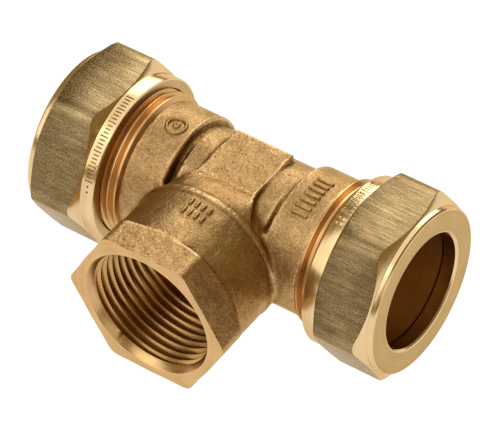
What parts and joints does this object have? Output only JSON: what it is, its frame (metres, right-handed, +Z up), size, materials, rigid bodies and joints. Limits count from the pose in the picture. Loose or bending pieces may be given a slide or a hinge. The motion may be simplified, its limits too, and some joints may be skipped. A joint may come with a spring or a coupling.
{
  "type": "compression tee fitting",
  "caption": "Brass equal-run compression tee: hexagonal nuts and sealing rings on both run ends, female-threaded hexagonal branch.",
  "frame": {"origin": "centre of the footprint, on the plane that the nuts' lower flats rest on", "axes": "+X along the run, -Y out of the branch, +Z up through the wrench pads; the run's axis is at y = 6.378 mm, z = 16.3 mm"},
  "size_m": [0.0744, 0.049, 0.0326],
  "materials": {
    "cast_brass": "blasted stamping skin, machined on threads, faces and bores",
    "drawn_brass": "drawn bar flats, bright turned ends",
    "ring_brass": "fine turned"
  },
  "bodies": {
    "body": {"tee_body": "cast_brass"},
    "left_ring": {"ring_left": "ring_brass"},
    "right_ring": {"ring_right": "ring_brass"},
    "left_nut": {"nut_left": "drawn_brass"},
    "right_nut": {"nut_right": "drawn_brass"}
  },
  "joints": [
    {"name": "right_nut_turn", "type": "hinge", "parent": "right_ring", "child": "right_nut", "pos_m": [0.03, 0.00638, 0.0163], "axis": [1, 0, 0], "range_deg": [0, 1260]},
    {"name": "right_nut_travel", "type": "slide", "parent": "body", "child": "right_ring", "axis": [1, 0, 0], "range_m": [0, 0.0053]},
    {"name": "left_nut_turn", "type": "hinge", "parent": "left_ring", "child": "left_nut", "pos_m": [-0.03, 0.00638, 0.0163], "axis": [-1, 0, 0], "range_deg": [0, 1260]},
    {"name": "left_nut_travel", "type": "slide", "parent": "body", "child": "left_ring", "axis": [-1, 0, 0], "range_m": [0, 0.0053]}
  ],
  "couplings": [
    {"joint": "right_nut_travel", "follows": "right_nut_turn", "m_per_rad": 0.00023873},
    {"joint": "left_nut_travel", "follows": "left_nut_turn", "m_per_rad": 0.00023873}
  ]
}
